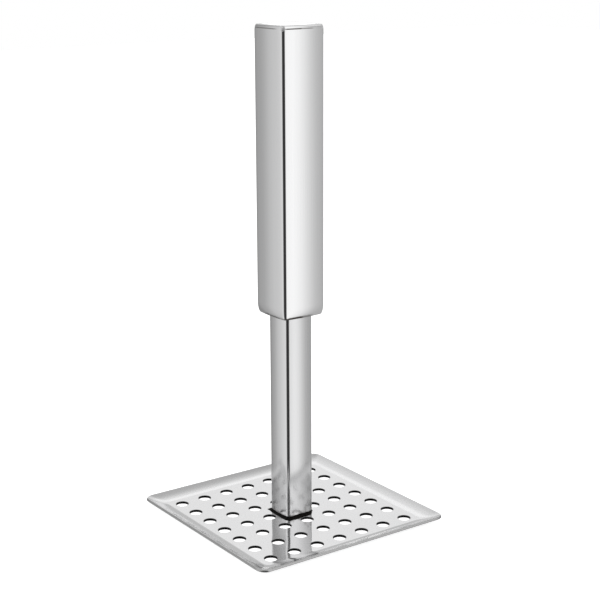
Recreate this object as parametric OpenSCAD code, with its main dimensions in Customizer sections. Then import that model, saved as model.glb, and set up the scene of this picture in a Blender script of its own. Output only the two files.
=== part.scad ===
// A square hand masher of polished stainless steel. A perforated tray does the mashing, a
// square stem carries it, and a hollow square handle is gripped. Welds hold it all rigid.
// Z is up, X and Y run along the tray's sides, and the origin is the middle of its underside.

/* [Mash plate] */
// Width of the square tray over its rim
plate_w = 115; // [105:1:130]
// Thickness of the pressed sheet
sheet_t = 1.4; // [0.8:0.1:2]
// Radius of the bend that turns the flat of the tray up into its rim
rim_r = 17; // [8:0.5:20]
// Angle at which the rim stands at its edge
rim_angle = 34; // [20:1:50]
// Corner radius of the tray at the edge of its rim
plate_corner_r = 4.5; // [3:0.5:12]
// Corner radius of the tray's flat, where the rim starts
flat_corner_r = 3; // [1:0.5:10]

/* [Holes] */
// Distance between the centres of neighbouring holes
hole_pitch = 14; // [10:0.5:20]
// Diameter of a hole
hole_d = 6.8; // [4:0.1:8]
// Least steel between an outer hole and the start of the rim
hole_edge = 1; // [0.5:0.1:4]

/* [Stem] */
// Width of the square stem tube at its corners
stem_w = 16.2; // [12:0.1:18]
// Wall of the stem tube
stem_wall = 1; // [0.8:0.1:1.5]
// Outer corner radius of the stem tube
stem_corner_r = 1.9; // [1.2:0.1:3]
// How far the middle of a stem face stands proud of its corners
stem_bow = 0.4; // [0.1:0.1:0.8]
// Length of stem that shows between the tray and the handle
stem_show = 108.3; // [60:0.1:160]
// Length of stem inside the handle
stem_in = 30; // [15:1:60]

/* [Handle] */
// Width of the square handle tube at its corners
handle_w = 25; // [24:0.5:32]
// Wall of the handle tube
handle_wall = 1; // [0.8:0.1:1.2]
// Outer corner radius of the handle tube
handle_corner_r = 1.8; // [1.4:0.1:4]
// How far the middle of a handle face stands proud of its corners
handle_bow = 0.5; // [0.1:0.1:1]
// Length of the handle tube
handle_len = 144.5; // [90:0.5:200]
// Height over which the foot of the handle tube draws in
foot_shoulder_h = 5.8; // [3:0.1:10]
// How far each face of the tube draws in at its foot
foot_draw = 1.1; // [0.4:0.1:1.4]
// Height over which the top of the handle tube draws in
top_shoulder_h = 3.2; // [1.6:0.1:6]
// How far each face of the tube draws in at its top
top_draw = 0.8; // [0.2:0.1:1.4]

/* [Caps and guide] */
// Thickness of the plates that close the two ends of the handle
cap_t = 1.5; // [1:0.1:2.5]
// Thickness of the plate that holds the stem central inside the handle
guide_t = 1.5; // [1:0.1:3]
// Distance from the top of the stem down to the guide plate's upper face
guide_drop = 3; // [2:0.5:10]
// Clearance round the stem in its plates, and round the guide in the handle
fit_gap = 0.15; // [0.05:0.05:0.3]

/* [Welds] */
// Leg of the fillet weld round the foot of the stem
foot_weld_leg = 1.2; // [0.8:0.1:1.8]
// Leg of the fillet weld that holds the stem in the handle's bottom cap
collar_weld_leg = 1.2; // [0.8:0.1:1.5]
// Leg of the tack welds on the guide plate
tack_leg = 1.2; // [0.8:0.1:1.8]
// Length of one tack weld
tack_len = 5; // [3:0.5:8]
// Width of the flush seam weld round each cap
seam_w = 0.6; // [0.4:0.1:0.8]
// Depth of the flush seam weld round each cap
seam_depth = 1; // [0.6:0.1:1]

/* [Hidden] */

polished_steel = [0.8, 0.8, 0.81];
plate_steel = [0.86, 0.86, 0.87];
seam_steel = [0.7, 0.7, 0.71];
burnt_steel = [0.13, 0.12, 0.12];

// How finely the curves are drawn
face_steps = 8;
corner_steps = 5;
rim_steps = 8;
shoulder_steps = 6;
bead_steps = 3;
hole_fn = 48;
// How far a cutting tool runs past the faces it cuts
overcut = 1;
// Least inner corner radius of a bent tube
least_corner_r = 0.4;
// Least width of the bottom cap's steel between the stem and the seam
least_cap_ring = 1.2;

rim_band = (rim_r + sheet_t) * sin(rim_angle);
flat_half = plate_w / 2 - rim_band;
hole_reach = floor((flat_half - hole_edge - hole_d / 2) / hole_pitch);
hole_lines = [for (k = [-hole_reach:hole_reach]) k * hole_pitch];
foot_half = stem_w / 2 + stem_bow + foot_weld_leg;

stem_half = stem_w / 2;
stem_z = sheet_t;
handle_z = stem_z + stem_show;
stem_top = handle_z + stem_in;
guide_z = stem_top - guide_drop - guide_t;
handle_top = handle_z + handle_len;

handle_half = handle_w / 2;
handle_inner_r = max(handle_corner_r - handle_wall, least_corner_r);
// The foot draws in less where the cap's steel round the stem would get too narrow
foot_room = handle_half - handle_wall - seam_w - least_cap_ring - stem_half - fit_gap;
foot_in = min(foot_draw, foot_room);
foot_mouth_half = handle_half - foot_in - handle_wall;
top_mouth_half = handle_half - top_draw - handle_wall;

// Outline of a square with round corners: half is half its width, r its corner radius
function rounded_square(half, r) = [
    for (side = [0:3], k = [0:corner_steps])
        let (turn = 90 * side, a = 90 * k / corner_steps, c = half - r)
            turned([c + r * cos(a), c + r * sin(a)], turn)
];

// Outline of a square tube whose faces bow out by b. Each face is an arc that runs smoothly
// into the round corners, whose centres lie at c.
function bowed_square(half, r, b) =
    let (c = half - r, face_r = (c * c + 2 * r * b + b * b) / (2 * b), f = asin(c / (face_r - r))) [
        for (side = [0:3], k = [0:face_steps + corner_steps - 1])
            let (
                on_face = k < face_steps,
                on_corner = k - face_steps,
                a = on_face ? f * (2 * k / face_steps - 1) : f + (90 - 2 * f) * on_corner / corner_steps,
                p = on_face ?
                    [half + b - face_r + face_r * cos(a), face_r * sin(a)] :
                    [c + r * cos(a), c + r * sin(a)]
            )
                turned(p, 90 * side)
    ];

function turned(p, a) = [p.x * cos(a) - p.y * sin(a), p.x * sin(a) + p.y * cos(a)];

function backwards(list) = [for (k = [len(list) - 1:-1:0]) list[k]];

// A solid ring through closed outlines at their heights: up its outside and down its inside
module lofted_ring(outlines, heights) {
    m = len(outlines);
    n = len(outlines[0]);
    polyhedron(
        points = [for (i = [0:m - 1]) for (p = outlines[i]) [p.x, p.y, heights[i]]],
        faces = [
            for (i = [0:m - 1], j = [0:n - 1])
                let (
                    i2 = (i + 1) % m,
                    j2 = (j + 1) % n,
                    a = i * n + j,
                    b = i2 * n + j,
                    c = i2 * n + j2,
                    d = i * n + j2
                )
                    each [[a, b, c], [a, c, d]]
        ]
    );
}

// A square tube with bowed faces and an even wall
module bowed_tube(half, r, b, wall, length) {
    linear_extrude(length) difference() {
        polygon(bowed_square(half, r, b));
        polygon(bowed_square(half - wall, max(r - wall, least_corner_r), b));
    }
}

// Section of a fillet weld: its two legs and its slightly swollen face
function bead_section(leg) =
    let (r = norm([2 * leg, leg]), start = atan2(leg, 2 * leg)) [
        [0, 0],
        for (k = [0:bead_steps])
            let (a = start + (90 - 2 * start) * k / bead_steps)
                [r * cos(a) - leg, r * sin(a) - leg]
    ];

// A fillet weld all round the stem, standing on the plane z = 0
module bead_round_stem(leg) {
    section = bead_section(leg);
    lofted_ring(
        [for (p = section) bowed_square(stem_half + p[0], stem_corner_r + p[0], stem_bow)],
        [for (p = section) p[1]]
    );
}

// One face of the rim's bend: distance out from the flat, and height
function rim_arc(r, z) = [
    for (k = [0:rim_steps])
        let (a = rim_angle * k / rim_steps)
            [r * sin(a), z + r * (1 - cos(a))]
];

module rim() {
    section = concat(rim_arc(rim_r + sheet_t, 0), backwards(rim_arc(rim_r, sheet_t)));
    lofted_ring(
        [
            for (p = section)
                let (r = flat_corner_r + (plate_corner_r - flat_corner_r) * p[0] / rim_band)
                    rounded_square(flat_half + p[0], r)
        ],
        [for (p = section) p[1]]
    );
}

// The tray. Its pattern leaves out each hole that would lie under the stem or its weld.
module mash_plate() {
    color(plate_steel) {
        difference() {
            linear_extrude(sheet_t) polygon(rounded_square(flat_half, flat_corner_r));
            for (x = hole_lines, y = hole_lines)
                if (max(abs(x), abs(y)) - hole_d / 2 > foot_half)
                    translate([x, y, -overcut])
                        cylinder(d = hole_d, h = sheet_t + 2 * overcut, $fn = hole_fn);
        }
        rim();
    }
}

module stem_tube() {
    color(polished_steel) translate([0, 0, stem_z])
        bowed_tube(stem_half, stem_corner_r, stem_bow, stem_wall, stem_show + stem_in);
}

module stem_foot_weld() {
    color(burnt_steel) translate([0, 0, stem_z]) bead_round_stem(foot_weld_leg);
}

// One drawn-in shoulder of the handle tube, from its lip: how far in, and how far along
function shoulder(draw, height) = [
    for (k = [0:shoulder_steps])
        let (a = 90 * k / shoulder_steps)
            [draw * (1 - sin(a)), height * (1 - cos(a))]
];

module handle_tube() {
    top = [for (p = shoulder(top_draw, top_shoulder_h)) [p[0], handle_len - p[1]]];
    outside = concat(shoulder(foot_in, foot_shoulder_h), backwards(top));
    inside = [
        [top_draw, handle_len],
        [top_draw, handle_len - cap_t],
        [0, handle_len - cap_t - top_shoulder_h],
        [0, cap_t + foot_shoulder_h],
        [foot_in, cap_t],
        [foot_in, 0]
    ];
    color(polished_steel) translate([0, 0, handle_z]) lofted_ring(
        concat(
            [for (p = outside) bowed_square(handle_half - p[0], handle_corner_r, handle_bow)],
            [for (p = inside) bowed_square(handle_half - handle_wall - p[0], handle_inner_r, handle_bow)]
        ),
        [for (p = concat(outside, inside)) p[1]]
    );
}

// Outline of a handle's mouth, drawn in further by gap
module mouth(half, gap) {
    polygon(bowed_square(half - gap, handle_inner_r, handle_bow));
}

// Outline of the stem with its clearance
module stem_hole() {
    polygon(bowed_square(stem_half + fit_gap, stem_corner_r + fit_gap, stem_bow));
}

module handle_top_cap() {
    color(polished_steel) translate([0, 0, handle_top - cap_t])
        linear_extrude(cap_t) mouth(top_mouth_half, seam_w);
}

module handle_bottom_cap() {
    color(polished_steel) translate([0, 0, handle_z]) linear_extrude(cap_t) difference() {
        mouth(foot_mouth_half, seam_w);
        stem_hole();
    }
}

// The ring of weld that fills the seam between a mouth and its cap
module seam_weld(half) {
    linear_extrude(seam_depth) difference() {
        mouth(half, 0);
        mouth(half, seam_w);
    }
}

module top_cap_weld() {
    color(seam_steel) translate([0, 0, handle_top - seam_depth]) seam_weld(top_mouth_half);
}

module bottom_cap_weld() {
    color(seam_steel) translate([0, 0, handle_z]) seam_weld(foot_mouth_half);
}

module collar_weld() {
    color(burnt_steel) translate([0, 0, handle_z + cap_t]) bead_round_stem(collar_weld_leg);
}

module stem_guide() {
    color(plate_steel) translate([0, 0, guide_z]) linear_extrude(guide_t) difference() {
        mouth(handle_half - handle_wall, fit_gap);
        stem_hole();
    }
}

// Four short tack welds, one on the middle of each stem face, on top of the guide
module guide_welds() {
    color(burnt_steel) translate([0, 0, guide_z + guide_t]) intersection() {
        bead_round_stem(tack_leg);
        for (side = [0:3])
            rotate(90 * side) translate([0, -tack_len / 2, 0]) cube([handle_half, tack_len, tack_leg]);
    }
}

mash_plate();
stem_tube();
stem_foot_weld();
handle_tube();
handle_top_cap();
top_cap_weld();
handle_bottom_cap();
bottom_cap_weld();
collar_weld();
stem_guide();
guide_welds();
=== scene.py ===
import math

import bmesh
import bpy
from mathutils import Matrix, Vector, noise


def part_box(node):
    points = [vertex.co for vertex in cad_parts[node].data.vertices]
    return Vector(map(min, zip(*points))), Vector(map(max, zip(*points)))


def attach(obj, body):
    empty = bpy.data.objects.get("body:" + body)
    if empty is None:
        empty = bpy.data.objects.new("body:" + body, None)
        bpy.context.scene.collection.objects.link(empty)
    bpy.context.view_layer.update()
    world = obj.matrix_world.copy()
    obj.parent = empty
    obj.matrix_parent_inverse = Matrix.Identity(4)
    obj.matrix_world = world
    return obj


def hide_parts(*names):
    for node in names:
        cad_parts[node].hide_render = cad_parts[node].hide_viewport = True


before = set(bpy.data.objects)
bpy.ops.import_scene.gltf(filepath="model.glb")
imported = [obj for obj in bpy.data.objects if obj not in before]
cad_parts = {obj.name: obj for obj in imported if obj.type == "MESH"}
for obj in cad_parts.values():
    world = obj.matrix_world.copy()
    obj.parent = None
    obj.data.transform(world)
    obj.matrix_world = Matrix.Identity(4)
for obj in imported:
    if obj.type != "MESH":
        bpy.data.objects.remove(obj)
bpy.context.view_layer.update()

BODY = "root"

# The tray, in metres
HOLE_ROWS = 7
HOLE_PITCH = 0.014
HOLE_R = 0.0034
RIM_R = 0.017
FLAT_CORNER_R = 0.003
RIM_CORNER_R = 0.0045
HOLE_EDGE_ROUNDING = 0.00012
SHEET_EDGE_ROUNDING = 0.0003

# The tubes and their caps
STEM_CORNER_R = 0.0019
STEM_BOW = 0.0004
STEM_WALL = 0.001
STEM_CLEARANCE = 0.00015
HANDLE_CORNER_R = 0.0018
HANDLE_BOW = 0.0005
HANDLE_WALL = 0.001
FOOT_DRAW = 0.0011
FOOT_SHOULDER_H = 0.0058
TOP_DRAW = 0.0008
TOP_SHOULDER_H = 0.0032
LIP_ROUNDING = 0.00012

# The foot weld: its ripples, how far it wanders, and how ragged it is, with cells of noise per metre
RIPPLE_PITCH = 0.0013
RIPPLE_H = 0.00014
RIPPLE_LAG = 1.6
BEAD_WANDER = 0.00016
WANDER_CELLS = 700
RUN_RAGS = 0.35
RAG_CELLS = 900
# Where it ran out over the tray or drew in: direction, width in degrees, reach
BEAD_RUNS = [
    (-90, 30, 0.0005), (-45, 9, -0.0011), (-128, 9, 0.0017), (135, 3, 0.0013), (180, 28, -0.0003),
    (20, 25, 0.0003),
]
# Where it piled up: direction, width in degrees, share of its height
BEAD_PILES = [(-90, 32, 0.15), (180, 30, -0.1), (-128, 10, -0.3), (135, 10, -0.4)]
# How jagged its top is all round, as a share of its height, and how many cells of noise that takes
BEAD_JAGS = 0.25
JAG_CELLS = 9

# How finely the curves are drawn
HOLE_STEPS = 48
CORNER_CUTS = 3
RIM_STEPS = 20
FACE_STEPS = 24
CORNER_STEPS = 12
SHOULDER_STEPS = 14
BEAD_STEPS = 8
SHARP_ANGLE = math.radians(50)
SAME_POINT = 0.000001
ON_OUTLINE = 0.00001

# Sizes that the frame gives
sheet_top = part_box("stem_tube")[0].z
sheet_t = sheet_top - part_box("mash_plate")[0].z
plate_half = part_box("mash_plate")[1].x
rim_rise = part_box("mash_plate")[1].z - sheet_top
rim_angle = math.acos(1 - rim_rise / RIM_R)
flat_half = plate_half - (RIM_R + sheet_t) * math.sin(rim_angle)
rim_width = RIM_R * math.sin(rim_angle)
stem_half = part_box("stem_tube")[1].x - STEM_BOW
handle_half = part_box("handle_tube")[1].x - HANDLE_BOW
lip_bottom, lip_top = (corner.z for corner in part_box("handle_tube"))
cap_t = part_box("handle_top_cap")[1].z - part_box("handle_top_cap")[0].z
seam_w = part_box("top_cap_weld")[1].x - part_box("handle_top_cap")[1].x

# Patterns in the metal: cells of noise per metre along X, Y and Z
POLISH_LINES = (2600, 2600, 9)
POLISH_CLOUDS = (60, 60, 18)
HEAT_LICKS = (420, 420, 180)
# How the painted shade line on the handle's foot lip wavers in height
LIP_SHADE_WAVER = (300, 300, 60)
SHEET_GRAIN = (2400, 2400, 2400)
SHEET_CLOUDS = (70, 70, 70)
SHEAR_TEARS = (5200, 5200, 500)
# The values of a pattern between which it goes from one finish to the other
PATTERN_SPAN = (0.3, 0.7)
PATCH_SPAN = (0.35, 0.7)
SPECKLE_SPAN = (0.36, 0.64)
HEAT_LICK_SPAN = (0.35, 0.75)
LIP_SHADE_WAVER_SPAN = (0.35, 0.65)
SMUDGE_SPAN = (0.4, 0.6)

# Bare steel: its tinge, and how much polishing lines and clouds vary its brightness and roughness
STEEL_BLUENESS = 1.005
LINE_CONTRAST = 0.03
LINE_ROUGHNESS = 0.02
CLOUD_ROUGHNESS = 0.03
# Steel that lost its polish, and steel that a weld has burnt, whose colour also paints the shade and
# reflection lines on the handle
DULL_ROUGHNESS = 0.5
BURNT_AND_PAINTED_SHADE_STEEL = (0.07, 0.06, 0.055, 1)
BURNT_AND_PAINTED_SHADE_ROUGHNESS = 0.42
# Half the width of the corner stretch over which one pair of a tube's faces meets the other
FACE_PAIR_BLEND = 0.0008

# Rolled sheet: its greys and roughness from one end of its grain to the other, and its rim
SHEET_GREYS = (0.79, 0.87)
SHEET_ROUGHNESS = (0.03, 0.06)
RIM_ROUGHNESS = 0.15
RIM_FADE = 0.004

# Relief: how strongly a pattern shows in it, and its depth in metres
POLISH_RELIEF = (0.02, 0.00001)
TEAR_RELIEF = (0.4, 0.00004)
MOTTLE_RELIEF = (0.25, 0.00005)
FLAT_GRAIN = 0.04
RIM_GRAIN = 0.005
GRAIN_DEPTH = 0.00001

# The stem's foot: how far up its polish is duller, and how much
FOOT_DULL_H = 0.034
FOOT_DULL = 0.2
# Heat at the stem's foot: how far up it licks, from which share of that it fades, how dark it is
HEAT_LOW = 0.0012
HEAT_HIGH = 0.0045
HEAT_FADE = 0.3
HEAT_DARKNESS = 0.6
# Its smudges, as (x, y, z, reach), how dark they are, and the share of a spot's reach that is full
FOOT_SMUDGES = [
    (-0.008, 0.006, 0.004, 0.004), (0.0065, -0.008, 0.005, 0.0055), (0.008, 0.0075, 0.004, 0.005),
]
SMUDGE_DARKNESS = 0.5
SPOT_CORE = 0.6

# The painted shade line on the handle's foot lip: how far up it goes, and from which share it fades
LIP_SHADE_LOW = 0.0011
LIP_SHADE_HIGH = 0.0017
LIP_SHADE_FADE = 0.6
# Where it shows: how far above the lip's edge, and (darkness, its streaks). A streak is (x, y, reach)
LIP_STREAKS_UP = 0.0002
LIP_STREAKS = [
    (0.6, [
        (-0.0015, -0.0119, 0.0075), (-0.0119, -0.0015, 0.0085), (0.001, 0.0119, 0.0085),
        (0.0119, -0.005, 0.006),
    ]),
    (0.97, [(-0.0062, -0.0119, 0.0072), (0.005, 0.0119, 0.006)]),
]
# The painted reflection line below the top seam: how far down, half its width, and where it shows
TOP_LINE_DROP = 0.00165
TOP_LINE_HALF = 0.00036
TOP_STREAKS_DOWN = 0.0017
TOP_STREAKS = [
    (0.6, [
        (-0.0125, 0.0018, 0.011), (-0.001, -0.0125, 0.0075), (0.0125, -0.003, 0.01),
        (0.002, 0.0125, 0.0095),
    ]),
    (0.95, [(-0.0058, -0.0125, 0.006), (0.006, 0.0125, 0.005)]),
]
# Where grinding the top seam dulled the handle's corners
GROUND_AT = (-0.0119, 0.0119)
GROUND_DOWN = 0.0014
GROUND_REACH = 0.0017
# The line along which each hole's wall keeps its painted shade, turned from +Y to run along the
# camera's line of sight, and the stretch of it, at the hole's sides, left bare steel
PAINTED_SHADE_ALONG = math.radians(-35)
UNSHADED_SPAN = (-0.25, 0.45, 0.65)

# The photograph's viewpoint
CAMERA_AZIMUTH = math.radians(-35.41)
CAMERA_ELEVATION = math.radians(14.51)
CAMERA_ROLL = math.radians(-0.24)
CAMERA_DISTANCE = 0.7137
CAMERA_LENS = 84.35
SENSOR_WIDTH = 36
AIM_HEIGHT = 0.11631
AIM_RIGHT = 0.00485

# The floor and the lamp
PAPER = (0.9, 0.9, 0.9, 1)
FLOOR_HALF = 3.0
FLOOR_DROP = 0.00005
FLOOR_GLOW = 0.75
SOFTBOX_WIDTH = 0.6
SOFTBOX_HEIGHT = 1.2
SOFTBOX_POWER = 4.0

# The studio as the steel sees it, in degrees from the camera's side: left is negative
LOW_LIGHT = [
    (-180, 0.57), (-150, 0.5), (-128, 0.28), (-123, 0.34), (-119, 0.43), (-116, 0.44),
    (-113.5, 0.49), (-109, 0.61), (-105.5, 0.66), (-102, 0.69), (-98, 0.79), (-58, 0.84),
    (-42, 0.2), (-30, 0.04), (30, 0.04), (42, 0.3), (52, 1.0), (62, 1.17), (65, 1.16),
    (70, 1.0), (75, 0.76), (79, 0.6), (83, 0.52), (105, 0.48), (145, 0.5), (180, 0.57),
]
HIGH_LIGHT = [
    (-180, 0.9), (-140, 0.8), (-124, 0.21), (-119, 0.31), (-112, 0.53), (-108, 0.69),
    (-104, 0.82), (-97, 1.05), (-60, 1.05), (50, 1.3), (60, 1.38), (66, 1.22), (71, 0.95),
    (77, 0.55), (84, 0.4), (92, 0.25), (125, 0.3), (145, 0.85), (180, 0.9),
]
UPPER_LIGHT = [
    (-180, 0.9), (-158, 0.83), (-134, 0.65), (-124, 0.66), (-100, 0.8), (-96, 0.9), (-60, 0.9),
    (0, 0.8), (52, 1.15), (60, 1.15), (66, 1.08), (77, 0.95), (90, 0.85), (108, 0.95),
    (119, 0.3), (125, 0.25), (141, 0.5), (158, 0.72), (170, 0.85), (180, 0.9),
]
OVERHEAD_LIGHT = 0.5
NADIR_LIGHT = 0.1
BRIGHTEST = 1.4
# Elevations over which the light nearer the horizon runs into the one named
TO_HIGH = (17, 21)
TO_UPPER = (23.0, 23.6)
TO_OVERHEAD = (42, 66)
TO_NADIR = (-55, -75)
# Cards in front of that: elevation and direction, each as its middle and how far from it the card
# holds and ends, and the card's brightness
CARDS = [
    ((17, 6.6, 8.4), (0, 40, 52), 0.04),
    ((25.2, 1.7, 2.4), (-109, 15.5, 18), 0.35),
    ((35, 4, 8), (180, 9, 17), 1.05),
    ((26, 4, 6), (4, 15, 24), 0.04),
    ((3.4, 0.7, 1.2), (180, 1.7, 2.6), 1.4),
]


def link_object(name, data):
    made = bpy.data.objects.new(name, data)
    bpy.context.scene.collection.objects.link(made)
    return made


def heights(node):
    """The lowest and the highest z of a node of the frame."""
    return [corner.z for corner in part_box(node)]


# Shader nodes

def add_node(tree, kind, inputs=None, **settings):
    """Adds a shader node, gives it its settings, and fills or links its inputs."""
    made = tree.nodes.new(kind)
    for key, value in settings.items():
        setattr(made, key, value)
    for key, value in (inputs or {}).items():
        if isinstance(value, bpy.types.NodeSocket):
            tree.links.new(value, made.inputs[key])
        else:
            made.inputs[key].default_value = value
    return made


def maths(tree, operation, first, second=0.0):
    return add_node(tree, "ShaderNodeMath", {0: first, 1: second}, operation=operation).outputs[0]


def remap(tree, value, low, high, to_low, to_high, smooth=False):
    """Carries a value from one range to another and holds it there."""
    made = add_node(
        tree,
        "ShaderNodeMapRange",
        {"Value": value, "From Min": low, "From Max": high, "To Min": to_low, "To Max": to_high},
        interpolation_type="SMOOTHSTEP" if smooth else "LINEAR",
    )
    return made.outputs["Result"]


def within(tree, value, middle, inner, outer):
    """1 up to inner away from the middle, falling to 0 at outer."""
    away = maths(tree, "ABSOLUTE", maths(tree, "SUBTRACT", value, middle))
    return remap(tree, away, inner, outer, 1, 0, smooth=True)


def within_turn(tree, degrees, middle, inner, outer):
    """The same for a direction in degrees, which comes round again after 360."""
    away = maths(tree, "ABSOLUTE", maths(tree, "SUBTRACT", degrees, middle))
    nearer = maths(tree, "MINIMUM", away, maths(tree, "SUBTRACT", 360, away))
    return remap(tree, nearer, inner, outer, 1, 0, smooth=True)


def mix_values(tree, share, first, second):
    made = add_node(tree, "ShaderNodeMix", {0: share, 2: first, 3: second}, data_type="FLOAT")
    return made.outputs[0]


def mix_colours(tree, share, first, second):
    made = add_node(tree, "ShaderNodeMix", {0: share, 6: first, 7: second}, data_type="RGBA")
    return made.outputs[2]


def place_on_piece(tree):
    return add_node(tree, "ShaderNodeTexCoord").outputs["Object"]


def axis_parts(tree):
    """The place on the piece, as its X, Y and Z."""
    return add_node(tree, "ShaderNodeSeparateXYZ", {0: place_on_piece(tree)}).outputs


def off_axis(tree):
    """How far a place lies from the masher's axis along X and along Y."""
    parts = axis_parts(tree)
    return [maths(tree, "ABSOLUTE", parts[axis]) for axis in "XY"]


def height_above(tree, level):
    return maths(tree, "SUBTRACT", axis_parts(tree)["Z"], level)


def noise_on_piece(tree, cells, detail=3.0, roughness=0.5):
    """Noise on the piece's own coordinates, with its own number of cells along each axis."""
    place = place_on_piece(tree)
    stretched = add_node(tree, "ShaderNodeMapping", {"Vector": place, "Scale": cells}).outputs[0]
    made = add_node(
        tree,
        "ShaderNodeTexNoise",
        {"Vector": stretched, "Scale": 1.0, "Detail": detail, "Roughness": roughness},
    )
    return made.outputs["Fac"]


def near_spots(tree, spots):
    """How near the surface is to the closest spot. A spot is (x, y, z, reach)."""
    place = place_on_piece(tree)
    share = 0.0
    for x, y, z, reach in spots:
        away = add_node(
            tree, "ShaderNodeVectorMath", {0: place, 1: (x, y, z)}, operation="DISTANCE"
        ).outputs["Value"]
        near = remap(tree, away, reach * SPOT_CORE, reach, 1, 0, smooth=True)
        share = maths(tree, "MAXIMUM", share, near)
    return share


# The metals

def steel_grey(brightness):
    """The faintly blue grey of bare steel."""
    return (brightness, brightness, brightness * STEEL_BLUENESS, 1)


def plain_grey(brightness):
    return (brightness, brightness, brightness, 1)


def start_material(name):
    material = bpy.data.materials.new(name)
    material.use_nodes = True
    material.node_tree.nodes.clear()
    return material, material.node_tree


def end_material(tree, shader):
    add_node(tree, "ShaderNodeOutputMaterial", {"Surface": shader.outputs[0]})


def finish_metal(tree, colour, roughness, pattern, strength, depth):
    """Ends a metal with its colour and roughness, and with its pattern as relief."""
    bump = add_node(
        tree, "ShaderNodeBump", {"Height": pattern, "Strength": strength, "Distance": depth}
    )
    shader = add_node(
        tree,
        "ShaderNodeBsdfPrincipled",
        {"Base Color": colour, "Metallic": 1.0, "Roughness": roughness, "Normal": bump.outputs[0]},
    )
    end_material(tree, shader)


def face_pairs(tree):
    """0 on the tube's faces across Y and 1 on those across X, which can be painted lighter."""
    off_x, off_y = off_axis(tree)
    lead = maths(tree, "SUBTRACT", off_x, off_y)
    return remap(tree, lead, -FACE_PAIR_BLEND, FACE_PAIR_BLEND, 0, 1, smooth=True)


def lined_grey(tree, lines, brightness):
    """Steel that its polishing lines make a little darker and brighter."""
    return mix_colours(
        tree, lines, steel_grey(brightness - LINE_CONTRAST), steel_grey(brightness + LINE_CONTRAST)
    )


def polished_steel(name, brightness, roughness, darkened=None, dulled=None, x_faces_painted_light=0.0):
    """Tube steel polished nearly to a mirror, with lengthwise lines and a faint cloudiness.

    darkened says where weld heat darkens the steel and where shade and reflection lines are painted
    on it, and dulled where the polish is lost.
    x_faces_painted_light is painted light: how much brighter the faces across X are painted.
    """
    material, tree = start_material(name)
    lines = noise_on_piece(tree, POLISH_LINES, detail=2)
    clouds = noise_on_piece(tree, POLISH_CLOUDS, detail=2)
    # The faces across X are painted lighter by the painted light given
    colour = mix_colours(
        tree,
        face_pairs(tree),
        lined_grey(tree, lines, brightness),
        lined_grey(tree, lines, brightness + x_faces_painted_light),
    )
    shine = maths(
        tree,
        "ADD",
        remap(tree, lines, *PATTERN_SPAN, roughness - LINE_ROUGHNESS, roughness + LINE_ROUGHNESS),
        remap(tree, clouds, *PATTERN_SPAN, 0.0, CLOUD_ROUGHNESS),
    )
    if dulled:
        shine = mix_values(tree, dulled(tree), shine, DULL_ROUGHNESS)
    # Weld heat on the stem; painted shade and reflection lines on the handle
    if darkened:
        darkening = darkened(tree)
        colour = mix_colours(tree, darkening, colour, BURNT_AND_PAINTED_SHADE_STEEL)
        shine = mix_values(tree, darkening, shine, BURNT_AND_PAINTED_SHADE_ROUGHNESS)
    finish_metal(tree, colour, shine, lines, *POLISH_RELIEF)
    return material


def foot_heat(tree):
    """How much the foot weld has darkened the stem: in uneven licks, and in three smudges."""
    wavers = noise_on_piece(tree, HEAT_LICKS)
    reach = remap(tree, wavers, *HEAT_LICK_SPAN, HEAT_LOW, HEAT_HIGH)
    share = maths(tree, "DIVIDE", height_above(tree, sheet_top), reach)
    low_licks = remap(tree, share, HEAT_FADE, 1.0, HEAT_DARKNESS, 0.0, smooth=True)
    uneven = remap(tree, wavers, *SMUDGE_SPAN, 0, SMUDGE_DARKNESS)
    smudges = maths(tree, "MULTIPLY", near_spots(tree, FOOT_SMUDGES), uneven)
    return maths(tree, "MAXIMUM", low_licks, smudges)


def dulled_foot(tree):
    """The stem's polish fades towards its foot weld, which the wheel could not reach."""
    return remap(tree, height_above(tree, sheet_top), 0.0, FOOT_DULL_H, FOOT_DULL, 0.0, smooth=True)


def streaks(tree, height, groups):
    """How dark the painted shade and reflection streaks round the handle are. A group is (darkness,
    its (x, y, reach)).
    """
    darkest = 0.0
    for darkness, places in groups:
        near = near_spots(tree, [(x, y, height, reach) for x, y, reach in places])
        darkest = maths(tree, "MAXIMUM", darkest, maths(tree, "MULTIPLY", near, darkness))
    return darkest


def painted_lip_shade(tree):
    """How dark the painted shade line on the handle's foot lip is: in a few long streaks."""
    wavers = noise_on_piece(tree, LIP_SHADE_WAVER)
    high = remap(tree, wavers, *LIP_SHADE_WAVER_SPAN, LIP_SHADE_LOW, LIP_SHADE_HIGH)
    share = maths(tree, "DIVIDE", height_above(tree, lip_bottom), high)
    line = remap(tree, share, LIP_SHADE_FADE, 1.0, 1, 0, smooth=True)
    return maths(tree, "MULTIPLY", line, streaks(tree, lip_bottom + LIP_STREAKS_UP, LIP_STREAKS))


def painted_reflection_line(tree):
    """How much of the painted reflection line below the top seam shows: it is painted in stretches.
    """
    line = within(
        tree, height_above(tree, lip_top), -TOP_LINE_DROP, TOP_LINE_HALF / 2, TOP_LINE_HALF
    )
    return maths(tree, "MULTIPLY", line, streaks(tree, lip_top - TOP_STREAKS_DOWN, TOP_STREAKS))


# The painted shade line at the foot lip and the painted reflection line below the top seam
def painted_handle_lines(tree):
    return maths(tree, "MAXIMUM", painted_lip_shade(tree), painted_reflection_line(tree))


def ground_corners(tree):
    """Where the grinding of the top seam dulled the handle's corners."""
    height = lip_top - GROUND_DOWN
    return near_spots(tree, [(x, y, height, GROUND_REACH) for x in GROUND_AT for y in GROUND_AT])


def on_rim(tree):
    """How far a place lies out on the tray's rim: 0 on the flat, 1 on the rim."""
    out = maths(tree, "MAXIMUM", *off_axis(tree))
    return remap(tree, out, flat_half, flat_half + RIM_FADE, 0, 1, smooth=True)


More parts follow.
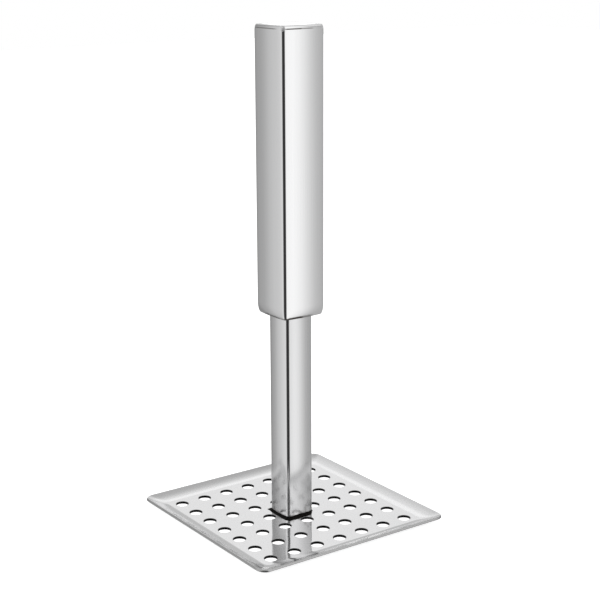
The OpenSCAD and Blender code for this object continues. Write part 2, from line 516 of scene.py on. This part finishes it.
def plate_steel(name):
    """Bright rolled sheet: a mirror with a fine grain, dulled where the rim was pressed."""
    material, tree = start_material(name)
    grain = noise_on_piece(tree, SHEET_GRAIN, detail=2)
    clouds = noise_on_piece(tree, SHEET_CLOUDS)
    speckle = remap(tree, grain, *SPECKLE_SPAN, 0.0, 1.0)
    colour = mix_colours(tree, speckle, *(steel_grey(brightness) for brightness in SHEET_GREYS))
    shine = maths(
        tree,
        "ADD",
        remap(tree, grain, *PATTERN_SPAN, *SHEET_ROUGHNESS),
        remap(tree, clouds, *PATCH_SPAN, 0.0, CLOUD_ROUGHNESS),
    )
    rim = on_rim(tree)
    finish_metal(
        tree,
        colour,
        mix_values(tree, rim, shine, RIM_ROUGHNESS),
        grain,
        mix_values(tree, rim, FLAT_GRAIN, RIM_GRAIN),
        GRAIN_DEPTH,
    )
    return material


def sides_out_of_painted_shade(tree):
    """1 on the two sides of each hole, where the wall is bare steel, and 0 on its far and near walls,
    which keep the painted shade.
    """
    parts = axis_parts(tree)
    lead = 0.0
    for axis, share in (("X", -math.sin(PAINTED_SHADE_ALONG)), ("Y", math.cos(PAINTED_SHADE_ALONG))):
        cells = maths(tree, "DIVIDE", parts[axis], HOLE_PITCH)
        off_centre = maths(tree, "SUBTRACT", cells, maths(tree, "ROUND", cells))
        step = maths(tree, "MULTIPLY", off_centre, share * HOLE_PITCH / HOLE_R)
        lead = maths(tree, "ADD", lead, step)
    return within(tree, lead, *UNSHADED_SPAN)


def sheared_steel(name, dark, light, roughness, unshaded_sides=None):
    """The wall that a punch or shears leave: torn in fine lines through the sheet."""
    material, tree = start_material(name)
    tears = noise_on_piece(tree, SHEAR_TEARS, detail=2)
    colour = mix_colours(tree, tears, dark, light)
    # The sides of each hole's wall come out of the painted shade as bare steel
    if unshaded_sides:
        colour = mix_colours(tree, sides_out_of_painted_shade(tree), colour, unshaded_sides)
    finish_metal(
        tree, colour, remap(tree, tears, *PATTERN_SPAN, *roughness), tears, *TEAR_RELIEF
    )
    return material


def weld_steel(name, dark, light, roughness, cells):
    """Weld metal with its own mottle, from burnt black to ground bright. The foot weld's near-black
    is weld burn together with painted shade at the join.
    """
    material, tree = start_material(name)
    mottle = noise_on_piece(tree, (cells, cells, cells), detail=4, roughness=0.6)
    colour = mix_colours(tree, remap(tree, mottle, *PATCH_SPAN, 0.0, 1.0), dark, light)
    finish_metal(
        tree, colour, remap(tree, mottle, *PATTERN_SPAN, *roughness), mottle, *MOTTLE_RELIEF
    )
    return material


# Meshes

def bowed_outline(half, corner_r, bow):
    """Outline of a square tube. Each face is an arc that runs smoothly into round corners."""
    core = half - corner_r
    face_r = (core * core + 2 * corner_r * bow + bow * bow) / (2 * bow)
    swing = math.asin(core / (face_r - corner_r))
    side = []
    for k in range(FACE_STEPS):
        a = swing * (2 * k / FACE_STEPS - 1)
        side.append(Vector((half + bow - face_r + face_r * math.cos(a), face_r * math.sin(a), 0)))
    for k in range(CORNER_STEPS):
        a = swing + (math.pi / 2 - 2 * swing) * k / CORNER_STEPS
        side.append(Vector((core + corner_r * math.cos(a), core + corner_r * math.sin(a), 0)))
    return [Matrix.Rotation(turn * math.pi / 2, 3, "Z") @ p for turn in range(4) for p in side]


def place_ring(ring, outline, z):
    for vert, point in zip(ring, outline):
        vert.co = (point.x, point.y, z)


def ring_edges(ring):
    members = set(ring)
    return list(dict.fromkeys(e for v in ring for e in v.link_edges if e.other_vert(v) in members))


def first_ring(bm, outline, z):
    """A closed ring of vertices on an outline."""
    ring = bmesh.ops.create_circle(bm, segments=len(outline), radius=1.0)["verts"]
    place_ring(ring, outline, z)
    return ring


def next_ring(bm, ring, outline, z):
    """Extrudes a closed ring and puts its copy, in the same order, on the next outline."""
    grown = bmesh.ops.extrude_edge_only(bm, edges=ring_edges(ring))["geom"]
    fresh = {g for g in grown if isinstance(g, bmesh.types.BMVert)}
    copy = [next(e.other_vert(v) for e in v.link_edges if e.other_vert(v) in fresh) for v in ring]
    place_ring(copy, outline, z)
    return copy


def lofted_shell(levels):
    """A closed shell through outlines at their heights: up its outside and down its inside.

    Its lips are rounded. A level is (outline, z).
    """
    bm = bmesh.new()
    start = first_ring(bm, *levels[0])
    ring = start
    for outline, z in levels[1:]:
        ring = next_ring(bm, ring, outline, z)
    bmesh.ops.bridge_loops(bm, edges=ring_edges(start) + ring_edges(ring))
    bmesh.ops.recalc_face_normals(bm, faces=bm.faces)
    soften(bm, sharp_edges(bm.faces), LIP_ROUNDING)
    return bm


def straight_shell(outer, inner, bottom, top):
    """The shell of a straight length of tube, or of a flat ring."""
    return lofted_shell([(outer, bottom), (outer, top), (inner, top), (inner, bottom)])


def soften(bm, edges, width):
    bmesh.ops.bevel(
        bm, geom=edges, offset=width, offset_type="OFFSET", affect="EDGES",
        segments=2, profile=0.5, material=-1,
    )


def sharp_edges(faces):
    """The edges of these faces where the surface turns sharply."""
    edges = dict.fromkeys(e for f in faces for e in f.edges)
    return [e for e in edges if e.is_manifold and e.calc_face_angle() > SHARP_ANGLE]


def make_piece(name, bm, materials, node):
    """Turns bm into the object that stands for a CAD node and rides on the masher's body."""
    mesh = bpy.data.meshes.new(name)
    bm.to_mesh(mesh)
    bm.free()
    for material in materials:
        mesh.materials.append(material)
    mesh.shade_smooth()
    piece = link_object(name, mesh)
    piece.modifiers.new("even_normals", "WEIGHTED_NORMAL")
    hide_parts(node)
    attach(piece, BODY)


# The tray

def cell_room(place, way):
    """Distance from a hole's centre to its cell's side, which the rim may cut short."""
    heading_out = place * way > 0
    return min(HOLE_PITCH / 2, flat_half - abs(place)) if heading_out else HOLE_PITCH / 2


def punched_cell(bm, x, y, punched):
    """One place of the pattern with the sheet round it. It is left whole unless punched."""
    centre = Vector((x, y, sheet_top))
    hole = bmesh.ops.create_circle(
        bm,
        cap_ends=not punched,
        segments=HOLE_STEPS,
        radius=HOLE_R,
        matrix=Matrix.Translation(centre),
    )["verts"]
    grown = bmesh.ops.extrude_edge_only(bm, edges=ring_edges(hole))["geom"]
    for vert in (g for g in grown if isinstance(g, bmesh.types.BMVert)):
        way = vert.co - centre
        way /= max(abs(way.x), abs(way.y))
        vert.co.x = x + way.x * cell_room(x, way.x)
        vert.co.y = y + way.y * cell_room(y, way.y)


def reach_of(vert):
    """How far out a point lies on the square of the tray."""
    return max(abs(vert.co.x), abs(vert.co.y))


def outline_edges(bm):
    """The edges along the square outline of the flat, where the rim starts."""
    return [e for e in bm.edges if all(reach_of(v) > flat_half - ON_OUTLINE for v in e.verts)]


def from_corner_arc(vert, core):
    """The nearest point of the square of the corner arcs' centres, and the way out from it."""
    centre = Vector((max(-core, min(core, vert.co.x)), max(-core, min(core, vert.co.y)), 0))
    return centre, (Vector((vert.co.x, vert.co.y, 0)) - centre).normalized()


def cut_corners_finer(bm):
    """More points on the outline where the flat's round corners will be."""
    core = flat_half - FLAT_CORNER_R
    near = [
        e for e in outline_edges(bm) if all(min(abs(v.co.x), abs(v.co.y)) > core for v in e.verts)
    ]
    bmesh.ops.subdivide_edges(bm, edges=near, cuts=CORNER_CUTS)


def round_flat(verts):
    """Draws the square outline of the flat in to its round corners."""
    for vert in verts:
        centre, way = from_corner_arc(vert, flat_half - FLAT_CORNER_R)
        vert.co = centre + way * FLAT_CORNER_R + Vector((0, 0, sheet_top))


def flare(verts, before, after):
    """Moves an outline from one step of the rim to the next. A step is (out, up)."""
    corner_before, corner_after = (
        FLAT_CORNER_R + (RIM_CORNER_R - FLAT_CORNER_R) * out / rim_width
        for out, _ in (before, after)
    )
    core_before = flat_half + before[0] - corner_before
    core_after = flat_half + after[0] - corner_after
    for vert in verts:
        centre, way = from_corner_arc(vert, core_before)
        vert.co = centre * core_after / core_before + way * corner_after
        vert.co.z = sheet_top + after[1]


def build_tray_surface(bm):
    """The upper face of the tray: the punched flat, then the rim that curves up round it."""
    rows = [(k - (HOLE_ROWS - 1) / 2) * HOLE_PITCH for k in range(HOLE_ROWS)]
    for x in rows:
        for y in rows:
            under_stem = x == 0 and y == 0
            punched_cell(bm, x, y, punched=not under_stem)
    bmesh.ops.remove_doubles(bm, verts=bm.verts, dist=SAME_POINT)
    cut_corners_finer(bm)
    edge = outline_edges(bm)
    round_flat({v for e in edge for v in e.verts})
    turns = [rim_angle * k / RIM_STEPS for k in range(RIM_STEPS + 1)]
    steps = [(RIM_R * math.sin(a), RIM_R * (1 - math.cos(a))) for a in turns]
    for before, after in zip(steps, steps[1:]):
        grown = bmesh.ops.extrude_edge_only(bm, edges=edge)["geom"]
        flare([g for g in grown if isinstance(g, bmesh.types.BMVert)], before, after)
        edge = [g for g in grown if isinstance(g, bmesh.types.BMEdge) and g.is_boundary]


def cut_faces(bm):
    """The walls of the holes, and the cut edge all round the rim."""
    hole_walls, rim_edge = [], []
    for face in bm.faces:
        drop = max(v.co.z for v in face.verts) - min(v.co.z for v in face.verts)
        if drop > sheet_t / 2:
            in_flat = max(reach_of(v) for v in face.verts) < flat_half
            kind = hole_walls if in_flat else rim_edge
            kind.append(face)
    return hole_walls, rim_edge


def tray_surfaces():
    """The sheet itself, the walls of its holes, painted near-black as shade, and its cut edge."""
    return [
        plate_steel("bright_rolled_sheet"),
        # The holes' walls: near-black greys as painted shade, bare steel on their sides
        sheared_steel(
            "punched_hole_wall_painted_shade",
            dark=plain_grey(0.015),
            light=plain_grey(0.05),
            roughness=(0.44, 0.56),
            unshaded_sides=steel_grey(0.45),
        ),
        sheared_steel(
            "sheared_rim_edge", dark=plain_grey(0.4), light=plain_grey(0.56), roughness=(0.24, 0.36)
        ),
    ]


def build_tray():
    bm = bmesh.new()
    build_tray_surface(bm)
    bmesh.ops.recalc_face_normals(bm, faces=bm.faces)
    if sum(f.normal.z for f in bm.faces) < 0:
        bmesh.ops.reverse_faces(bm, faces=bm.faces)
    bmesh.ops.solidify(bm, geom=bm.faces[:], thickness=sheet_t)
    bmesh.ops.recalc_face_normals(bm, faces=bm.faces)
    hole_walls, rim_edge = cut_faces(bm)
    for surface, faces in enumerate((hole_walls, rim_edge), start=1):
        for face in faces:
            face.material_index = surface
    hole_edges, rim_edges = sharp_edges(hole_walls), sharp_edges(rim_edge)
    soften(bm, hole_edges, HOLE_EDGE_ROUNDING)
    soften(bm, rim_edges, SHEET_EDGE_ROUNDING)
    make_piece("tray", bm, tray_surfaces(), "mash_plate")


# The tubes, the caps and their welds

def stem_outline(grown=0.0):
    return bowed_outline(stem_half + grown, STEM_CORNER_R + grown, STEM_BOW)


def handle_outline(drawn_in):
    return bowed_outline(handle_half - drawn_in, HANDLE_CORNER_R, HANDLE_BOW)


def mouth_outline(drawn_in):
    """The handle's inner outline, drawn in. The caps and their seams lie on it too."""
    inner_r = HANDLE_CORNER_R - HANDLE_WALL
    return bowed_outline(handle_half - HANDLE_WALL - drawn_in, inner_r, HANDLE_BOW)


def build_stem():
    bm = straight_shell(stem_outline(), stem_outline(-STEM_WALL), *heights("stem_tube"))
    polish = polished_steel(
        "stem_polish",
        brightness=0.69,
        roughness=0.13,
        darkened=foot_heat,
        dulled=dulled_foot,
        # The stem's faces across X are painted lighter, as painted light
        x_faces_painted_light=0.13,
    )
    make_piece("stem", bm, [polish], "stem_tube")


def shoulder(draw, height):
    """One drawn-in end of the handle, from its lip: how far in, and how far along."""
    turns = [math.pi / 2 * k / SHOULDER_STEPS for k in range(SHOULDER_STEPS + 1)]
    return [(draw * (1 - math.sin(a)), height * (1 - math.cos(a))) for a in turns]


def build_handle():
    foot, head = shoulder(FOOT_DRAW, FOOT_SHOULDER_H), shoulder(TOP_DRAW, TOP_SHOULDER_H)
    going_up = [(handle_outline(inward), lip_bottom + along) for inward, along in foot]
    going_up += [(handle_outline(inward), lip_top - along) for inward, along in reversed(head)]
    going_down = [
        (mouth_outline(TOP_DRAW), lip_top),
        (mouth_outline(TOP_DRAW), lip_top - cap_t),
        (mouth_outline(0), lip_top - cap_t - TOP_SHOULDER_H),
        (mouth_outline(0), lip_bottom + cap_t + FOOT_SHOULDER_H),
        (mouth_outline(FOOT_DRAW), lip_bottom + cap_t),
        (mouth_outline(FOOT_DRAW), lip_bottom),
    ]
    polish = polished_steel(
        "handle_polish", brightness=0.8, roughness=0.075, darkened=painted_handle_lines, dulled=ground_corners
    )
    make_piece(
        "handle", lofted_shell(going_up + going_down), [polish], "handle_tube"
    )


def build_top_cap():
    bottom, top = heights("handle_top_cap")
    bm = bmesh.new()
    ring = first_ring(bm, mouth_outline(TOP_DRAW + seam_w), bottom)
    face = bmesh.ops.contextual_create(bm, geom=ring_edges(ring))["faces"]
    grown = bmesh.ops.extrude_face_region(bm, geom=face)["geom"]
    lifted = [g for g in grown if isinstance(g, bmesh.types.BMVert)]
    bmesh.ops.translate(bm, verts=lifted, vec=(0, 0, top - bottom))
    bmesh.ops.recalc_face_normals(bm, faces=bm.faces)
    soften(bm, sharp_edges(bm.faces), LIP_ROUNDING)
    polish = polished_steel("ground_top_cap", brightness=0.88, roughness=0.03)
    make_piece("top_cap", bm, [polish], "handle_top_cap")


def build_bottom_cap():
    outer, inner = mouth_outline(FOOT_DRAW + seam_w), stem_outline(STEM_CLEARANCE)
    bm = straight_shell(outer, inner, *heights("handle_bottom_cap"))
    polish = polished_steel("ground_bottom_cap", brightness=0.8, roughness=0.12)
    make_piece("bottom_cap", bm, [polish], "handle_bottom_cap")


def build_seam(name, node, draw):
    """The flush ring of weld between a mouth of the handle and its cap."""
    bm = straight_shell(mouth_outline(draw), mouth_outline(draw + seam_w), *heights(node))
    ground = weld_steel(
        name + "_metal",
        dark=plain_grey(0.6),
        light=(0.74, 0.74, 0.745, 1),
        roughness=(0.18, 0.32),
        cells=900,
    )
    make_piece(name, bm, [ground], node)


def bead_section(leg):
    """Section of a fillet weld from its inner corner, as (out, up): its toe, face and upper toe."""
    reach = math.hypot(2 * leg, leg)
    start = math.atan2(leg, 2 * leg)
    turns = [start + (math.pi / 2 - 2 * start) * k / BEAD_STEPS for k in range(BEAD_STEPS + 1)]
    return [(0.0, 0.0)] + [(reach * math.cos(a) - leg, reach * math.sin(a) - leg) for a in turns]


def ripple(vert, way_round, swell):
    """Pushes a point of the bead out and in, as the puddle's ripples and wander left it."""
    middle = Vector((0, 0, vert.co.z))
    outward = (vert.co - middle).normalized()
    wave = math.sin(2 * math.pi * way_round / RIPPLE_PITCH - RIPPLE_LAG * swell)
    wander = noise.noise(vert.co * WANDER_CELLS)
    shift = swell * (RIPPLE_H * (wave - 1) / 2 + BEAD_WANDER * wander)
    vert.co += (outward + Vector((0, 0, 1))).normalized() * shift


def lumps_towards(turn, lumps):
    """Sum of the lumps at a direction. A lump is (direction, width in degrees, size)."""
    total = 0.0
    for direction, width, size in lumps:
        off = (turn - direction + 180) % 360 - 180
        total += size * math.exp(-((off / width) ** 2))
    return total


def run_out(vert, low, out_share):
    """Spreads or draws in the bead over the tray, and piles it up, as the hand that laid it did."""
    outward = Vector((vert.co.x, vert.co.y, 0)).normalized()
    turn = math.degrees(math.atan2(outward.y, outward.x))
    ragged = 1 + RUN_RAGS * noise.noise(vert.co * RAG_CELLS)
    jagged = BEAD_JAGS * noise.noise(outward * JAG_CELLS)
    vert.co += outward * lumps_towards(turn, BEAD_RUNS) * ragged * out_share
    vert.co.z = low + (vert.co.z - low) * (1 + lumps_towards(turn, BEAD_PILES) + jagged)


def build_foot_weld(metal):
    low, high = heights("stem_foot_weld")
    leg = high - low
    bm = bmesh.new()
    start = first_ring(bm, stem_outline(), low)
    ring = start
    for step, (out, up) in enumerate(bead_section(leg)[1:]):
        ring = next_ring(bm, ring, stem_outline(out), low + up)
        swell = math.sin(math.pi * step / BEAD_STEPS)
        way_round = 0.0
        points = [v.co.copy() for v in ring]
        for vert, here, there in zip(ring, points, points[1:] + points[:1]):
            ripple(vert, way_round, swell)
            run_out(vert, low, out / leg)
            way_round += (there - here).length
    bmesh.ops.bridge_loops(bm, edges=ring_edges(start) + ring_edges(ring))
    bmesh.ops.recalc_face_normals(bm, faces=bm.faces)
    make_piece("foot_weld", bm, [metal], "stem_foot_weld")


def dress_hidden_pieces(weld_metal):
    """The pieces inside the handle stay as they are in the frame and get their metal."""
    inside = {
        "collar_weld": (weld_metal, "burnt_weld"),
        "guide_welds": (weld_metal, "burnt_weld"),
        "stem_guide": (plate_steel("guide_sheet"), "plate_steel"),
    }
    for name, (material, slot) in inside.items():
        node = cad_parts[name]
        node.data.materials.clear()
        node.data.materials.append(material)


# The stage, the light and the camera

def studio_ramp(tree, way_round, stops):
    """Brightness round the horizon. A stop is (degrees from the camera's side, brightness)."""
    place = maths(tree, "ADD", maths(tree, "DIVIDE", way_round, 360), 0.5)
    made = add_node(tree, "ShaderNodeValToRGB", {0: place})
    ramp = made.color_ramp
    while len(ramp.elements) < len(stops):
        ramp.elements.new(0.5)
    for element, (degrees, light) in zip(ramp.elements, sorted(stops)):
        element.position = degrees / 360 + 0.5
        element.color = plain_grey(light / BRIGHTEST)
    return maths(tree, "MULTIPLY", made.outputs[0], BRIGHTEST)


def way_seen(tree):
    """The way that the steel looks, in degrees: round from the camera's side, and up."""
    way = add_node(tree, "ShaderNodeTexCoord").outputs["Generated"]
    camera_side = CAMERA_AZIMUTH - math.pi / 2
    turned = add_node(
        tree,
        "ShaderNodeVectorRotate",
        {"Vector": way, "Angle": -camera_side},
        rotation_type="Z_AXIS",
    ).outputs[0]
    parts = add_node(tree, "ShaderNodeSeparateXYZ", {0: turned}).outputs
    round_angle = maths(tree, "ARCTAN2", parts["Y"], parts["X"])
    to_degrees = 180 / math.pi
    return (
        maths(tree, "MULTIPLY", round_angle, to_degrees),
        maths(tree, "MULTIPLY", maths(tree, "ARCSINE", parts["Z"]), to_degrees),
    )


def build_world():
    """A studio that the steel mirrors: bright walls, and a dark side where the camera is."""
    world = bpy.data.worlds.new("studio")
    world.use_nodes = True
    tree = world.node_tree
    tree.nodes.clear()
    bpy.context.scene.world = world
    way_round, rise = way_seen(tree)
    light = studio_ramp(tree, way_round, LOW_LIGHT)
    for elevations, further in (
        (TO_HIGH, studio_ramp(tree, way_round, HIGH_LIGHT)),
        (TO_UPPER, studio_ramp(tree, way_round, UPPER_LIGHT)),
        (TO_OVERHEAD, OVERHEAD_LIGHT),
        (TO_NADIR, NADIR_LIGHT),
    ):
        light = mix_values(tree, remap(tree, rise, *elevations, 0, 1, smooth=True), light, further)
    for height, direction, card_light in CARDS:
        card = maths(
            tree, "MULTIPLY", within(tree, rise, *height), within_turn(tree, way_round, *direction)
        )
        light = mix_values(tree, card, light, card_light)
    seen = add_node(tree, "ShaderNodeLightPath").outputs["Is Camera Ray"]
    shown = mix_values(tree, seen, light, 1.0)
    background = add_node(tree, "ShaderNodeBackground", {"Color": shown, "Strength": 1.0})
    add_node(tree, "ShaderNodeOutputWorld", {"Surface": background.outputs[0]})


def floor_surface():
    """White paper. The camera sees it with a glow of its own, so only its shadows are grey."""
    material, tree = start_material("white_floor")
    paper = add_node(tree, "ShaderNodeBsdfDiffuse", {"Color": PAPER})
    seen = add_node(tree, "ShaderNodeLightPath").outputs["Is Camera Ray"]
    glow = add_node(
        tree, "ShaderNodeEmission", {"Strength": maths(tree, "MULTIPLY", seen, FLOOR_GLOW)}
    )
    lit = add_node(tree, "ShaderNodeAddShader", {0: paper.outputs[0], 1: glow.outputs[0]})
    clear = add_node(tree, "ShaderNodeBsdfTransparent")
    below = add_node(tree, "ShaderNodeNewGeometry").outputs["Backfacing"]
    surface = {0: below, 1: lit.outputs[0], 2: clear.outputs[0]}
    end_material(tree, add_node(tree, "ShaderNodeMixShader", surface))
    return material


def build_floor():
    bm = bmesh.new()
    bmesh.ops.create_grid(
        bm,
        x_segments=1,
        y_segments=1,
        size=FLOOR_HALF,
        matrix=Matrix.Translation((0, 0, -FLOOR_DROP)),
    )
    mesh = bpy.data.meshes.new("floor")
    bm.to_mesh(mesh)
    bm.free()
    mesh.materials.append(floor_surface())
    floor = link_object("floor", mesh)
    floor.visible_glossy = False


def build_softbox():
    data = bpy.data.lights.new("softbox", "AREA")
    data.shape = "DISK"
    data.size = SOFTBOX_WIDTH
    data.energy = SOFTBOX_POWER
    lamp = link_object("softbox", data)
    lamp.location = (0, 0, SOFTBOX_HEIGHT)
    lamp.visible_glossy = False


def build_camera():
    a, e, roll = CAMERA_AZIMUTH, CAMERA_ELEVATION, CAMERA_ROLL
    back = Vector((math.sin(a) * math.cos(e), -math.cos(a) * math.cos(e), math.sin(e)))
    level = Vector((math.cos(a), math.sin(a), 0))
    upright = back.cross(level)
    right = level * math.cos(roll) + upright * math.sin(roll)
    up = back.cross(right)
    data = bpy.data.cameras.new("camera")
    data.lens = CAMERA_LENS
    data.sensor_width = SENSOR_WIDTH
    camera = link_object("camera", data)
    place = Vector((0, 0, AIM_HEIGHT)) + right * AIM_RIGHT + back * CAMERA_DISTANCE
    turn = Matrix((right, up, back)).transposed().to_4x4()
    camera.matrix_world = Matrix.Translation(place) @ turn
    bpy.context.scene.camera = camera


build_camera()
build_world()
build_floor()
build_softbox()

# The foot weld's near-black is weld burn and painted shade where the stem meets the tray
burnt_weld = weld_steel(
    "burnt_and_shaded_weld_bead",
    dark=(0.004, 0.004, 0.004, 1),
    light=(0.022, 0.02, 0.018, 1),
    roughness=(0.49, 0.63),
    cells=1400,
)
build_tray()
build_stem()
build_foot_weld(burnt_weld)
build_handle()
build_top_cap()
build_seam("top_seam", "top_cap_weld", TOP_DRAW)
build_bottom_cap()
build_seam("bottom_seam", "bottom_cap_weld", FOOT_DRAW)
dress_hidden_pieces(burnt_weld)

scene = bpy.context.scene
scene.view_settings.view_transform = "Standard"
